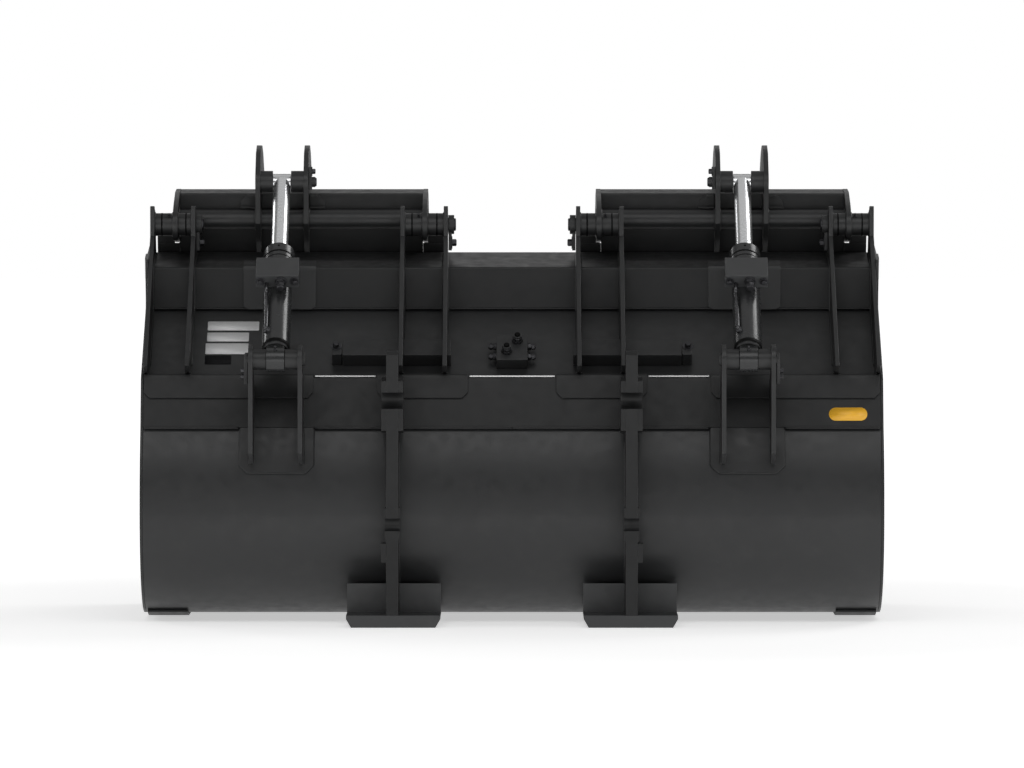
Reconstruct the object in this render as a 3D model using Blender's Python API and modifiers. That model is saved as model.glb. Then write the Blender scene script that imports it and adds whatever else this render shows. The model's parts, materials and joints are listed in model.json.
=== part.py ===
"""Loader bucket with two independent hydraulic top clamps.

Metres, +Z up, +Y towards the bucket's mouth, +X to the right as seen from behind.
Side outlines are pairs (y, z), y measured from the rearmost line of the shell and
z from the ground. Everything is then moved by OFFSET_Y, so that the origin lies on
the ground under the middle of the object's own length.
"""

import math

import bmesh
import bpy
from mathutils import Matrix, Vector

# Bucket
SIDE_X = 1.372  # outer face of a side plate
SIDE_T = 0.010
GAP = 0.0003  # left between welded plates, so that each stays its own solid
INSIDE_X = SIDE_X - SIDE_T - GAP  # what spans the bucket ends here
SHELL_T = 0.012
BEAM_T = 0.010
BEND_REACH = 0.020  # from a bend's corner to where the sheet is straight again
FLOOR_Z = 0.024
FLOOR_END = 1.22
HEEL_R = 0.39
BACK_R = 0.66
BACK_RISE = 37.0  # degrees of the straight back above the horizontal
LIP_Z = 1.335
REAR_Y = -0.130  # rearmost plane of hooks, feet and clevises

# Clamp pivots and linkage
HINGE = (0.705, 1.467)
ROD_PIN = (0.745, 1.627)
BASE_PIN = (-0.075, 0.983)
TUBE = (0.800, 1.485)
CYLINDER_X = 0.868
EAR_X = (1.3537, 1.1995, 0.412, 0.249)
TINE_X = (1.268, 0.328)
PLATE_HALF = 0.0908  # from the cylinder's middle to the middle of a claw or clevis plate
EAR_T = 0.016
EAR_END_R = 0.056  # the torque tube swings past outside this
TINE_T = 0.018
PIN_R = 0.025
PIN_PLAY = 0.0005
HUB_R = 0.043
TUBE_R = 0.037
ROD_R = 0.032
BARREL_R = 0.052
EYE_R = 0.046

SIDES = (("left", -1), ("right", 1))
ROUND = 24
ACROSS = (math.radians(90), 0, math.radians(90))  # an outline's (x, y) becomes (Y, Z)


# Points and outlines


def arc(centre, radius, start, end, steps):
    """Points of an arc; angles in degrees, from +Y towards +Z."""
    points = []
    for i in range(steps + 1):
        a = math.radians(start + (end - start) * i / steps)
        points.append((centre[0] + radius * math.cos(a), centre[1] + radius * math.sin(a)))
    return points


def circle(centre, radius, steps=ROUND):
    return arc(centre, radius, 0, 360 - 360 / steps, steps - 1)


def bezier(p0, p1, p2, p3, t):
    u = 1 - t
    weights = (u * u * u, 3 * u * u * t, 3 * u * t * t, t * t * t)
    return tuple(sum(w * p[k] for w, p in zip(weights, (p0, p1, p2, p3))) for k in (0, 1))


def offset_curve(controls, width, start, end, steps):
    """Points beside a Bezier curve, width(t) to the left of travel."""
    points = []
    for i in range(steps + 1):
        t = start + (end - start) * i / steps
        here = bezier(*controls, t)
        ahead = bezier(*controls, t + 0.001)
        run = math.hypot(ahead[0] - here[0], ahead[1] - here[1])
        normal = ((here[1] - ahead[1]) / run, (ahead[0] - here[0]) / run)
        points.append((here[0] + normal[0] * width(t), here[1] + normal[1] * width(t)))
    return points


def unit(start, end):
    run = math.hypot(end[0] - start[0], end[1] - start[1])
    return ((end[0] - start[0]) / run, (end[1] - start[1]) / run)


def slide_along(point, direction, length):
    return (point[0] + direction[0] * length, point[1] + direction[1] * length)


# Objects


def collection(name):
    made = bpy.data.collections.new(name)
    bpy.context.scene.collection.children.link(made)
    return made


def move_to(obj, target):
    for old in list(obj.users_collection):
        old.objects.unlink(obj)
    target.objects.link(obj)
    return obj


def material(name, colour, roughness, metallic):
    made = bpy.data.materials.new(name)
    made.use_nodes = True
    shader = made.node_tree.nodes["Principled BSDF"]
    shader.inputs["Base Color"].default_value = (*colour, 1)
    shader.inputs["Roughness"].default_value = roughness
    shader.inputs["Metallic"].default_value = metallic
    return made


def as_mesh(guide, name):
    """A mesh object with the guide curve's shape and place, its caps welded; the curve goes."""
    bpy.context.view_layer.update()
    mesh = bpy.data.meshes.new_from_object(guide.evaluated_get(bpy.context.evaluated_depsgraph_get()))
    work = bmesh.new()
    work.from_mesh(mesh)
    bmesh.ops.remove_doubles(work, verts=work.verts, dist=1e-5)
    bmesh.ops.recalc_face_normals(work, faces=work.faces)
    work.to_mesh(mesh)
    work.free()
    mesh.name = name
    made = bpy.data.objects.new(name, mesh)
    made.matrix_world = guide.matrix_world
    parts.objects.link(made)
    bpy.data.objects.remove(guide)
    return made


def flat_curve(name, loops, extrude, cyclic=True):
    curve = bpy.data.curves.new(name, "CURVE")
    curve.dimensions = "2D"
    curve.fill_mode = "BOTH" if cyclic else "NONE"
    curve.extrude = extrude
    for loop in loops:
        spline = curve.splines.new("POLY")
        spline.points.add(len(loop) - 1)
        for point, (u, v) in zip(spline.points, loop):
            point.co = (u, v, 0, 1)
        spline.use_cyclic_u = cyclic
    guide = bpy.data.objects.new(name + "_guide", curve)
    parts.objects.link(guide)
    return guide


def plate(name, outline, x, thickness, holes=()):
    """A flat plate: a side outline, its middle plane at x."""
    guide = flat_curve(name, (outline, *holes), thickness / 2)
    guide.rotation_euler = ACROSS
    guide.location = (x, OFFSET_Y, 0)
    return as_mesh(guide, name)


def bent_plate(name, profile, x_from, x_to, thickness):
    """A sheet bent along X: its outer face runs along the profile, its thickness to the right of travel."""
    guide = flat_curve(name, (profile,), (x_to - x_from) / 2, cyclic=False)
    guide.rotation_euler = ACROSS
    guide.location = ((x_from + x_to) / 2, OFFSET_Y, 0)
    bpy.context.view_layer.update()
    made = as_mesh(guide, name)
    thicken = made.modifiers.new("thickness", "SOLIDIFY")
    thicken.thickness = thickness
    thicken.use_even_offset = True
    # The ribbon's own normal may lie on either side of the profile.
    along = Vector((profile[1][0] - profile[0][0], profile[1][1] - profile[0][1], 0))
    right = Vector((along.y, -along.x, 0))
    start = Vector((*profile[0], 0))
    nearest = min(made.data.polygons, key=lambda face: (face.center - start).length)
    thicken.offset = 1 if nearest.normal.dot(right) > 0 else -1
    return made


def rod_along_x(name, radius, x_from, x_to, centre, steps=ROUND):
    bpy.ops.mesh.primitive_cylinder_add(
        vertices=steps,
        radius=radius,
        depth=abs(x_to - x_from),
        location=((x_from + x_to) / 2, centre[0] + OFFSET_Y, centre[1]),
        rotation=(0, math.radians(90), 0),
    )
    made = bpy.context.object
    made.name = name
    return move_to(made, parts)


def block(name, size, x, centre, tilt=0.0):
    """A box of size (x, along, up), turned by tilt degrees about X."""
    bpy.ops.mesh.primitive_cube_add(size=1, location=(x, centre[0] + OFFSET_Y, centre[1]))
    made = bpy.context.object
    made.name = name
    made.data.transform(Matrix.Diagonal((*size, 1)))
    made.rotation_euler = (math.radians(tilt), 0, 0)
    return move_to(made, parts)


def helper(obj):
    obj.hide_render = True
    obj.display_type = "WIRE"
    return move_to(obj, cutters)


def combine(obj, operation, *others):
    for other in others:
        step = obj.modifiers.new(other.name, "BOOLEAN")
        step.operation = operation
        step.object = helper(other)
    return obj


def join(obj, *others):
    return combine(obj, "UNION", *others)


def cut(obj, *others):
    return combine(obj, "DIFFERENCE", *others)


def empty(name, x, centre, tilt=0.0):
    made = bpy.data.objects.new(name, None)
    made.location = (x, centre[0] + OFFSET_Y, centre[1])
    made.rotation_euler = (math.radians(tilt), 0, 0)
    parts.objects.link(made)
    bpy.context.view_layer.update()
    return made


def hang_on(pivot, pieces):
    bpy.context.view_layer.update()
    for piece in pieces:
        piece.parent = pivot
        piece.matrix_parent_inverse = pivot.matrix_world.inverted()


def finish(obj, look):
    obj.data.materials.clear()
    obj.data.materials.append(look)
    obj.data.shade_smooth()
    obj.data.set_sharp_from_angle(angle=math.radians(30))
    return obj


# Side view of the shell

HEEL_MID = (HEEL_R, FLOOR_Z + HEEL_R)
BACK_MID = (BACK_R, FLOOR_Z + HEEL_R)
BACK_START = arc(BACK_MID, BACK_R, 90 + BACK_RISE, 90 + BACK_RISE, 1)[0]
BACK_SLOPE = math.tan(math.radians(BACK_RISE))
UPHILL = (math.cos(math.radians(BACK_RISE)), math.sin(math.radians(BACK_RISE)))
OUTWARD = (-UPHILL[1], UPHILL[0])


def back_z(y):
    """Height of the straight back's outer face."""
    return BACK_START[1] + (y - BACK_START[0]) * BACK_SLOPE


def back_y(z):
    return BACK_START[0] + (z - BACK_START[1]) / BACK_SLOPE


def heel_y(z):
    """The rolled part's outer face at a height."""
    if z < HEEL_MID[1]:
        return HEEL_R - math.sqrt(HEEL_R**2 - (HEEL_MID[1] - z) ** 2)
    return BACK_R - math.sqrt(BACK_R**2 - (z - BACK_MID[1]) ** 2)


LIP = (back_y(LIP_Z), LIP_Z)
LOW_BEAM = ((0.067, 0.727), (0.127, 0.914), (0.211, 0.911))
HIGH_BEAM = ((0.533, 1.157), (0.541, 1.309), (0.820, 1.361))
MOUTH_TOP = (0.845, 1.375)
MOUTH_FOOT = (1.285, 0.10)

# Side view of a clamp

CLAW_LINE = (ROD_PIN, (1.10, 1.935), (1.80, 1.25), (1.245, 0.085))
TINE_LINE = (HINGE, (1.25, 1.78), (1.76, 1.12), (1.245, 0.085))
TIP_HALF = 0.016


def claw_half(t):
    return TIP_HALF + (0.072 - TIP_HALF) * (1 - t) ** 0.5


def tine_half(t):
    return TIP_HALF + (0.058 - TIP_HALF) * (1 - t) ** 0.5


CLAW_OUTER = offset_curve(CLAW_LINE, claw_half, 0.06, 0.998, 14)
TINE_OUTER = offset_curve(TINE_LINE, tine_half, 0.03, 0.998, 13)
OFFSET_Y = -(REAR_Y + max(y for y, z in CLAW_OUTER + TINE_OUTER)) / 2


# Bucket pieces


def shell():
    profile = [(FLOOR_END, FLOOR_Z)]
    profile += arc(HEEL_MID, HEEL_R, -90, -180, 12)
    profile += arc(BACK_MID, BACK_R, 180, 90 + BACK_RISE, 9)[1:]
    profile += [LIP]
    return bent_plate("shell", profile, -INSIDE_X, INSIDE_X, SHELL_T)


def side_plate(name, side):
    outline = [(FLOOR_END + 0.06, FLOOR_Z)]
    outline += arc(HEEL_MID, HEEL_R, -90, -180, 12)
    outline += arc(BACK_MID, BACK_R, 180, 152, 5)[1:]
    outline += [(0.121, 0.905), (0.135, 0.918), (0.500, 1.158), (0.506, 1.325)]
    outline += [(0.520, 1.338), (0.800, 1.385), MOUTH_TOP]
    outline += [(1.06, 0.80), MOUTH_FOOT, (1.290, FLOOR_Z)]
    return plate(name, outline, side * (SIDE_X - SIDE_T / 2), SIDE_T)


def side_cutter(name, side):
    """The thick strip along a side plate's front edge."""
    width = 0.11
    outline = [(MOUTH_TOP[0] + 0.012, MOUTH_TOP[1] - 0.02), (1.072, 0.80), (1.297, 0.10), (1.300, FLOOR_Z)]
    outline += [(1.300 - width, FLOOR_Z), (1.180, 0.13), (0.965, 0.80), (0.790, 1.340)]
    return plate(name, outline, side * (SIDE_X + GAP + 0.008), 0.016)


def cutting_edge():
    thick = FLOOR_Z - GAP
    outline = [(1.07, 0), (1.345, 0), (1.350, 0.006), (1.302, thick), (1.06, thick), (1.06, 0.008)]
    return plate("cutting_edge", outline, 0, 2 * SIDE_X)


def bend(profile, steps):
    """The profile with its middle corner rounded."""
    first, corner, last = profile
    before = slide_along(corner, unit(corner, first), BEND_REACH)
    after = slide_along(corner, unit(corner, last), BEND_REACH)
    rounded = [bezier(before, corner, corner, after, i / steps) for i in range(steps + 1)]
    return [first, *rounded, last]


def beam(name, profile):
    return bent_plate(name, bend(profile, 4), -INSIDE_X, INSIDE_X, BEAM_T)


def doubler(name, x_from, x_to):
    """A plate lapped over the lower beam's bend."""
    thick = 0.008
    first, corner, last = LOW_BEAM
    down = unit(corner, first)
    over = unit(corner, last)
    lift = Vector((-(down[0] + over[0]), -(down[1] + over[1]))).normalized() * (thick + GAP) * 1.35
    raised = (corner[0] + lift.x, corner[1] + lift.y)
    profile = (slide_along(raised, down, 0.092), raised, slide_along(raised, over, 0.062))
    made = bent_plate(name, bend(profile, 4), x_from, x_to, thick)
    corners = []
    for i, x in enumerate((x_from, x_to)):
        chamfer = block(f"{name}_corner_{i}", (0.03, 0.2, 0.03), x, profile[0])
        chamfer.rotation_euler = (0, math.radians(45), 0)
        corners.append(chamfer)
    return cut(made, *corners)


def ear_outline():
    """A bearing plate; the torque tube swings past its end and stops at the nib behind the pin."""
    low_z = 0.957
    low_y = 0.047
    straight_z = 1.425
    rear_y = HINGE[0] - EAR_END_R
    rest = OUTWARD[0] * 0.002, OUTWARD[1] * 0.002
    seat = 0.270
    stop_y, stop_z = HINGE[0] - 0.025, HINGE[1] + 0.070
    outline = [(low_y, low_z), (rear_y, straight_z), (rear_y, stop_z - 0.012)]
    outline += arc((rear_y + 0.012, stop_z - 0.012), 0.012, 135, 90, 2)
    outline += [(stop_y, stop_z - 0.002)]
    outline += arc(HINGE, EAR_END_R, 100, 0, 8)
    outline += [(HINGE[0] + 0.070, 1.43), (0.800, 1.380)]
    outline += [(HIGH_BEAM[2][0] - 0.004, HIGH_BEAM[2][1] + 0.0015)]
    outline += [(HIGH_BEAM[1][0] - 0.002, HIGH_BEAM[1][1] + 0.0015)]
    outline += [(HIGH_BEAM[0][0] - 0.0015, HIGH_BEAM[0][1])]
    outline += [(HIGH_BEAM[0][0] - 0.0015, back_z(HIGH_BEAM[0][0] - 0.0015) + 0.0015)]
    outline += [(seat + rest[0], back_z(seat) + rest[1]), (LOW_BEAM[2][0] + 0.02, LOW_BEAM[2][1] + 0.012)]
    outline += [(LOW_BEAM[1][0] + 0.01, LOW_BEAM[1][1] + 0.0115)]
    return outline


def hinge_ear(name, side, x, boss_to):
    """One of a clamp's bearing plates, with the spacer boss towards its hub."""
    ear = plate(name, ear_outline(), side * x, EAR_T)
    boss = rod_along_x(name + "_boss", HUB_R, side * x, side * boss_to, HINGE)
    bore = rod_along_x(name + "_bore", PIN_R + GAP, side * (x - 0.1), side * (x + 0.1), HINGE)
    return cut(join(ear, boss), bore)


def hinge_pin(name, side, x_from, x_head, out):
    """A pin through two ears and a hub, with a flag head turned down for its bolt."""
    pin = rod_along_x(name, PIN_R, side * x_from, side * (x_head + out * 0.012), HINGE)
    head = rod_along_x(name + "_head", 0.036, side * x_head, side * (x_head + out * 0.022), HINGE, 24)
    tab_size = (0.012, 0.040, 0.085)
    tab = block(name + "_tab", tab_size, side * (x_head + out * 0.007), (HINGE[0], HINGE[1] - 0.055))
    return join(pin, head, tab)


ON_BEAM = 0.0012  # clearance of a plate's edge from the beam or shell it is welded to
ON_DOUBLER = 0.0105
DOUBLER_FOOT = 0.832
HOOK_X = 0.439
THROAT = (-0.085, 0.833)  # where the coupler's bar lies
THROAT_R = 0.030


def beam_y(z):
    """The lower beam's rear face at a height."""
    (low_y, low_z), (high_y, high_z) = LOW_BEAM[:2]
    return low_y + (z - low_z) * (high_y - low_y) / (high_z - low_z)


def seat_on_beam(top_z):
    """A plate's edge against the doubler and the beam, down to the beam's foot."""
    points = [(beam_y(z) - ON_DOUBLER, z) for z in (top_z, DOUBLER_FOOT)]
    return points + [(beam_y(z) - ON_BEAM, z) for z in (DOUBLER_FOOT, LOW_BEAM[0][1])]


def hook_outline():
    """The coupler plate: its front edge lies on the shell and the lower beam."""
    outline = [(REAR_Y, 0.046), (REAR_Y, 1.000), (REAR_Y + 0.012, 1.012)]
    outline += [(0.030, 1.012), (0.038, 0.935), (0.103, 0.924)]
    outline += seat_on_beam(0.908)
    outline += [(beam_y(LOW_BEAM[0][1]) - ON_BEAM, LOW_BEAM[0][1] - 0.009)]
    outline += arc(BACK_MID, BACK_R + ON_BEAM, 153.5, 180, 5)
    outline += arc(HEEL_MID, HEEL_R + ON_BEAM, 180, 250, 12)[1:]
    return outline


def coupler_hook(name, side):
    x = side * HOOK_X
    hook = plate(name, hook_outline(), x, 0.044)
    cheek = [(REAR_Y + 0.003, 0.723), (REAR_Y + 0.003, THROAT[1] + 0.072), (-0.030, 0.915)]
    cheek += [(0.030, 0.86), (0.030, 0.74), (0.0, 0.71)]
    cheeks = plate(name + "_cheeks", cheek, x, 0.080)
    saddle = [(REAR_Y + 0.002, 0.317), (REAR_Y + 0.002, 0.440), (-0.060, 0.440), (-0.045, 0.317)]
    saddles = plate(name + "_saddle", saddle, x, 0.056)
    lug = [(REAR_Y + 0.001, 0.239), (REAR_Y + 0.001, 0.309), (-0.050, 0.309), (-0.050, 0.239)]
    lugs = plate(name + "_lug", lug, x + side * 0.016, 0.050)
    throat = rod_along_x(name + "_throat", THROAT_R, x - 0.1, x + 0.1, THROAT, 24)
    mouth = block(name + "_mouth", (0.2, 0.10, 2 * THROAT_R), x, (THROAT[0] - 0.05, THROAT[1]))
    notch = rod_along_x(name + "_notch", 0.024, x - 0.1, x + 0.1, (REAR_Y + 0.006, 0.378), 20)
    return cut(join(hook, cheeks, saddles, lugs), throat, mouth, notch)


def coupler_foot(name, side):
    """The stop under a hook: a chamfered base, and an upright plate close behind the heel."""
    x = side * 0.436
    width, base_z, top_z = 0.346, 0.045, 0.151
    upright = (0.066, 0.088)
    profile = [(REAR_Y, 0), (0.255, 0), (0.255, 0.030), (0.235, base_z), (upright[1], base_z)]
    profile += [(upright[1], top_z), (upright[0], top_z), (upright[0], base_z), (REAR_Y, base_z)]
    foot = plate(name, profile, x, width)
    slot = block(name + "_slot", (0.0446, 0.5, 0.2), side * HOOK_X, (0.0, 0.1455))
    wedges = []
    for i, end in enumerate((-1, 1)):
        wedge = block(f"{name}_wedge_{i}", (0.06, 0.6, 0.12), x + end * (width / 2 + 0.0165), (0.06, 0.0))
        wedge.rotation_euler = (0, end * math.radians(30), 0)
        wedges.append(wedge)
    return cut(foot, slot, *wedges)


PAD_HALF = 0.1345


def cylinder_clevis(name, side):
    """Two plates on a pad, holding the base pin; the pad lies on the shell under the lower beam."""
    x = side * CYLINDER_X
    outline = arc(BASE_PIN, 0.055, 180, 20, 10)
    outline += [(0.020, 0.935), (0.068, 0.915)]
    outline += seat_on_beam(0.880)
    outline += [(heel_y(0.716) - 0.008, 0.716)]
    outline += [(heel_y(0.60) - 0.008, 0.60), (-0.060, 0.598), (REAR_Y, 0.640)]
    pieces = []
    for i, end in enumerate((-1, 1)):
        pieces.append(plate(f"{name}_{i}", outline, x + end * PLATE_HALF, EAR_T))
        from_x = x + end * PLATE_HALF
        pieces.append(rod_along_x(f"{name}_boss_{i}", 0.038, from_x, x + end * 0.0345, BASE_PIN))
    pad_profile = [(heel_y(z) - 0.0008, z) for z in (0.562, 0.60, 0.64, 0.68, 0.722)]
    pad = bent_plate(name, pad_profile[::-1], x - PAD_HALF, x + PAD_HALF, 0.010)
    corners = []
    for i, end in enumerate((-1, 1)):
        corner = block(f"{name}_corner_{i}", (0.04, 0.2, 0.04), x + end * PAD_HALF, pad_profile[0])
        corner.rotation_euler = (0, math.radians(45), 0)
        corners.append(corner)
    bore = rod_along_x(name + "_bore", PIN_R + GAP, x - 0.2, x + 0.2, BASE_PIN)
    return cut(join(pad, *pieces), bore, *corners)


def base_pin(name, side):
    x = side * CYLINDER_X
    pin = rod_along_x(name, PIN_R, x - side * 0.108, x + side * 0.112, BASE_PIN)
    keeper_x = x + side * (PLATE_HALF + EAR_T / 2 + 0.010)
    keeper = block(name + "_keeper", (0.012, 0.046, 0.110), keeper_x, (BASE_PIN[0], BASE_PIN[1] - 0.035))
    return join(pin, keeper)


def on_back(along, out):
    """A point of the back's outer face, along from the start of its straight part, out from it."""
    foot = slide_along(BACK_START, UPHILL, along)
    return slide_along(foot, OUTWARD, out)


GUARD_SIZE = (0.402, 0.094, 0.052)
GUARD_AT = on_back(0.058, 0.0005 + GUARD_SIZE[2] / 2)
GUARD_X = 0.428


def hose_guard(name, side):
    return block(name, GUARD_SIZE, side * GUARD_X, GUARD_AT, BACK_RISE)


def guard_window(name, side):
    size = tuple(s + 0.0014 for s in GUARD_SIZE)
    return block(name, size, side * GUARD_X, GUARD_AT, BACK_RISE)


def valve_block():
    body = block("valve_block", (0.115, 0.150, 0.044), 0, on_back(0.068, 0.0225), BACK_RISE)
    spools = []
    for i, (x, along) in enumerate(((-0.020, 0.039), (0.020, 0.101))):
        bpy.ops.mesh.primitive_cylinder_add(vertices=20, radius=0.016, depth=0.040)
        spool = bpy.context.object
        spool.name = f"valve_spool_{i}"
        place = on_back(along, 0.055)
        spool.location = (x, place[0] + OFFSET_Y, place[1])
        spool.rotation_euler = (math.radians(BACK_RISE), 0, 0)
        spools.append(move_to(spool, parts))
    return join(body, *spools)


# Clamp pieces


def side_tine(name, side, x, hub_from, hub_to):
    outline = TINE_OUTER + offset_curve(TINE_LINE, lambda t: -tine_half(t), 0.998, 0.34, 9)
    outline += [(1.000, 1.395), (0.880, 1.398), (0.800, 1.408)]
    outline += arc(HINGE, 0.060, 300, 110, 8)
    tine = plate(name, outline, side * x, TINE_T, holes=(circle(TUBE, TUBE_R + 0.0006),))
    hub = rod_along_x(name + "_hub", HUB_R, side * hub_from, side * hub_to, HINGE)
    reach = 0.2
    bore = rod_along_x(name + "_bore", PIN_R + PIN_PLAY, side * (x - reach), side * (x + reach), HINGE)
    return cut(join(tine, hub), bore)


def claw_plate(name, side, x, boss_to, bored):
    """A skeleton plate from the rod pin over the crest to the tip, webbed down to the torque tube."""
    inner = offset_curve(CLAW_LINE, lambda t: -claw_half(t), 0.998, 0.42, 9)
    outline = arc(ROD_PIN, 0.050, 205, 130, 4) + CLAW_OUTER + inner
    outline += [(1.150, 1.335), (1.020, 1.295), (0.930, 1.312), (0.885, 1.340), (0.775, 1.420)]
    outline += [(0.735, 1.470), (0.728, 1.530)]
    window = offset_curve(CLAW_LINE, lambda t: -0.035, 0.10, 0.36, 7)
    window += [(1.165, 1.490), (1.110, 1.430), (1.020, 1.405), (0.955, 1.430), (0.850, 1.515), (0.846, 1.600)]
    holes = [circle(TUBE, TUBE_R + 0.0006), window]
    claw = plate(name, outline, side * x, TINE_T, holes)
    boss = rod_along_x(name + "_boss", 0.042, side * x, side * boss_to, ROD_PIN)
    join(claw, boss)
    if bored:
        bore = rod_along_x(name + "_bore", 0.0195 + GAP, side * (x - 0.2), side * (x + 0.2), ROD_PIN)
        cut(claw, bore)
    return claw


CHANNEL = ((0.862, 1.516), (0.862, 1.583), (0.985, 1.598))
DECK = ((0.850, 1.458), (0.905, 1.290), (1.060, 1.180))
DECK_SLOT = (TINE_T + 2 * GAP, 0.16, 0.145)  # where a claw plate stands through the deck's upper edge
DECK_SLOT_AT = (0.870, 1.3975)
BAR = (1.451, 0.985)
BAR_R = 0.026


def clamp(side_name, side):
    """A clamp's pieces, all hung on its hinge."""
    outer, inner = TINE_X
    claws = (CYLINDER_X + PLATE_HALF, CYLINDER_X - PLATE_HALF)
    pieces = [
        side_tine(f"side_tine_outer_{side_name}", side, outer, 1.3180, 1.2285),
        side_tine(f"side_tine_inner_{side_name}", side, inner, 0.2835, 0.3760),
        claw_plate(f"claw_outer_{side_name}", side, claws[0], CYLINDER_X + 0.0345, False),
        claw_plate(f"claw_inner_{side_name}", side, claws[1], CYLINDER_X - 0.0345, True),
        rod_along_x(f"torque_tube_{side_name}", TUBE_R, side * (outer + 0.012), side * (inner - 0.012), TUBE),
        rod_along_x(f"cross_bar_{side_name}", BAR_R, side * (outer + 0.012), side * (inner - 0.012), BAR, 24),
        rod_pin(f"rod_pin_{side_name}", side, claws[1]),
    ]
    tines = pieces[:4]
    ends = (inner + TINE_T / 2 + GAP, outer - TINE_T / 2 - GAP)
    sheets = (
        bent_plate(f"channel_{side_name}", bend(CHANNEL, 4), *sorted(side * e for e in ends), 0.010),
        bent_plate(f"deck_{side_name}", bend(DECK, 3), *sorted(side * e for e in ends), 0.008),
    )
    for tine in tines:
        name = tine.name
        x = tine.matrix_world.translation.x
        cut(tine, rod_along_x(name + "_bar_hole", BAR_R + 2 * GAP, x - 0.1, x + 0.1, BAR))
    for claw in tines[2:]:
        x = claw.matrix_world.translation.x
        cut(sheets[1], block(claw.name + "_slot", DECK_SLOT, x, DECK_SLOT_AT))
    pivot = empty(f"clamp_{side_name}_hinge", side * CYLINDER_X, HINGE)
    hang_on(pivot, [*pieces, *sheets])
    return [*pieces, *sheets]


def rod_pin(name, side, claw_x):
    """The pin's free end, in the inner claw, with its keeper."""
    pin = rod_along_x(name, 0.0195, side * (CYLINDER_X - 0.040), side * (claw_x - 0.034), ROD_PIN)
    keeper_x = side * (claw_x - TINE_T / 2 - 0.0065)
    keeper = block(name + "_keeper", (0.012, 0.040, 0.085), keeper_x, (ROD_PIN[0], ROD_PIN[1] + 0.015))
    return join(pin, keeper)


# Cylinder pieces, built along their own +Z from the base pin and then laid on the linkage

REACH = math.hypot(ROD_PIN[0] - BASE_PIN[0], ROD_PIN[1] - BASE_PIN[1])
CYLINDER_RISE = math.degrees(math.atan2(ROD_PIN[1] - BASE_PIN[1], ROD_PIN[0] - BASE_PIN[0]))
BARREL_FROM = 0.070
BARREL_FLOOR = 0.105
CAP_R = 0.050
BARREL_TO = 0.500
GLAND_TO = 0.615
GLAND_R = 0.0585
BLOCK_AT = 0.411
ROD_FOOT = 0.400  # inner end of the rod, where the piston would be
EYE_HALF = 0.033


def turned(name, profile, steps=ROUND):
    """A solid of revolution about Z from a profile of (radius, height), top to bottom."""
    mesh = bpy.data.meshes.new(name)
    mesh.from_pydata([(r, 0, z) for r, z in profile], [(i, i + 1) for i in range(len(profile) - 1)], [])
    made = bpy.data.objects.new(name, mesh)
    parts.objects.link(made)
    spin = made.modifiers.new("turn", "SCREW")
    spin.steps = steps
    spin.render_steps = steps
    spin.use_merge_vertices = True
    spin.merge_threshold = 0.0001
    return made


def block_local(name, size, centre):
    bpy.ops.mesh.primitive_cube_add(size=1, location=centre)
    made = bpy.context.object
    made.name = name
    made.data.transform(Matrix.Diagonal((*size, 1)))
    return move_to(made, parts)


def bar_local(name, radius, length, height, across):
    """A round bar centred at a height on the cylinder's axis, along that axis or across it."""
    turn = (0, math.radians(90), 0) if across else (0, 0, 0)
    bpy.ops.mesh.primitive_cylinder_add(
        vertices=ROUND, radius=radius, depth=length, location=(0, 0, height), rotation=turn
    )
    made = bpy.context.object
    made.name = name
    return move_to(made, parts)


def cylinder(side_name, side):
    """Barrel, port block and rod; the rod runs in the barrel with play."""
    name = f"barrel_{side_name}"
    bore_r = ROD_R + 0.0008
    inner_r = BARREL_R - 0.008
    profile = [
        (bore_r, GLAND_TO),
        (0.054, GLAND_TO),
        (GLAND_R, GLAND_TO - 0.006),
        (GLAND_R, BARREL_TO),
        (BARREL_R, BARREL_TO - 0.004),
        (BARREL_R, BARREL_FROM),
        (CAP_R, BARREL_FROM - 0.004),
        (CAP_R, BARREL_FROM - 0.024),
        (CAP_R - 0.005, BARREL_FROM - 0.030),
        (0.0, BARREL_FROM - 0.030),
        (0.0, BARREL_FLOOR),
        (inner_r, BARREL_FLOOR),
        (inner_r, BARREL_TO),
        (bore_r, BARREL_TO),
        (bore_r, GLAND_TO),
    ]
    barrel = turned(name, profile)
    base_eye = bar_local(name + "_eye", EYE_R, 2 * EYE_HALF, 0, True)
    base_bore = bar_local(name + "_bore", PIN_R + PIN_PLAY, 0.2, 0, True)
    neck = block_local(name + "_neck", (0.062, 0.070, 0.070), (0, 0, 0.035))
    join(barrel, neck, base_eye)
    cut(barrel, base_bore)
    ports = block_local(f"port_block_{side_name}", (0.158, 0.056, 0.108), (0, -(BARREL_R + 0.024), BLOCK_AT))
    saddle = bar_local(f"port_block_{side_name}_saddle", BARREL_R + 2 * GAP, 0.3, BLOCK_AT, False)
    cut(ports, saddle)
    rod = turned(
        f"rod_{side_name}",
        [(0.0, REACH - 0.010), (ROD_R, REACH - 0.010), (ROD_R, ROD_FOOT), (0.0, ROD_FOOT)],
    )
    rod_eye = bar_local(f"rod_{side_name}_eye", 0.031, 2 * EYE_HALF - 0.001, REACH, True)
    join(rod, rod_eye)
    pivot = empty(f"cylinder_{side_name}_pivot", side * CYLINDER_X, BASE_PIN, CYLINDER_RISE - 90)
    # Local -Y is turned to the upper side, where the port block sits.
    for piece in (barrel, ports, rod, neck, base_eye, base_bore, saddle, rod_eye):
        piece.parent = pivot
    return [barrel, ports], rod


# The whole


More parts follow.
